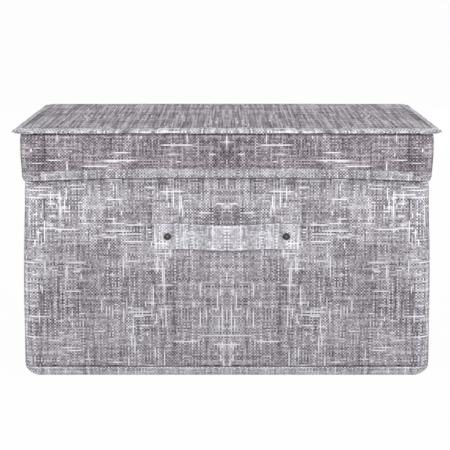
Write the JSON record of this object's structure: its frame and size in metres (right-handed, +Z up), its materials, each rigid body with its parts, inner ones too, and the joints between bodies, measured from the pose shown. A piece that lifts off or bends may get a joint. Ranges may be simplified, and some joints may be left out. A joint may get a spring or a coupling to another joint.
{
  "type": "storage box",
  "caption": "Rectangular linen-covered storage box with stiffened walls, a strap handle on the front, a loose base board and a lift-off lid with a deep skirt.",
  "frame": {"origin": "centre of the footprint, on the floor", "axes": "+X along the length, to the right seen from the front; -Y out of the front, where the handle is; +Z up"},
  "size_m": [0.4216, 0.3216, 0.25],
  "materials": {
    "slub_linen": "plain-woven grey linen with pale slub yarns",
    "band_linen": "the same linen as a folded binding strip, paler and bluish",
    "pale_linen": "near-white woven strap linen",
    "lining_cloth": "pale grey pressed non-woven lining",
    "grey_board": "solid grey binder's board",
    "dark_rivet_metal": "dark bronze plated, half gloss"
  },
  "bodies": {
    "box": {"front_cover": "slub_linen", "front_board": "grey_board", "front_lining": "lining_cloth", "back_cover": "slub_linen", "back_board": "grey_board", "back_lining": "lining_cloth", "left_cover": "slub_linen", "left_board": "grey_board", "left_lining": "lining_cloth", "right_cover": "slub_linen", "right_board": "grey_board", "right_lining": "lining_cloth", "rim_facing": "band_linen", "bottom_edge_band": "band_linen", "bottom_cover": "slub_linen", "bottom_lining": "lining_cloth", "handle_strap": "pale_linen", "handle_rivets": "dark_rivet_metal", "rivet_caps": "dark_rivet_metal"},
    "base_insert": {"base_board": "grey_board", "base_board_cover": "lining_cloth"},
    "lid": {"lid_top_cover": "slub_linen", "lid_edge_binding": "band_linen", "lid_board": "grey_board", "lid_lining": "lining_cloth", "skirt_front_cover": "slub_linen", "skirt_front_board": "grey_board", "skirt_front_lining": "lining_cloth", "skirt_back_cover": "slub_linen", "skirt_back_board": "grey_board", "skirt_back_lining": "lining_cloth", "skirt_left_cover": "slub_linen", "skirt_left_board": "grey_board", "skirt_left_lining": "lining_cloth", "skirt_right_cover": "slub_linen", "skirt_right_board": "grey_board", "skirt_right_lining": "lining_cloth", "skirt_hem": "band_linen"}
  },
  "joints": [
    {"name": "lid_lift", "type": "slide", "parent": "box", "child": "lid", "axis": [0, 0, 1], "range_m": [0, 0.15]},
    {"name": "base_lift", "type": "slide", "parent": "box", "child": "base_insert", "axis": [0, 0, 1], "range_m": [0, 0.2]}
  ]
}
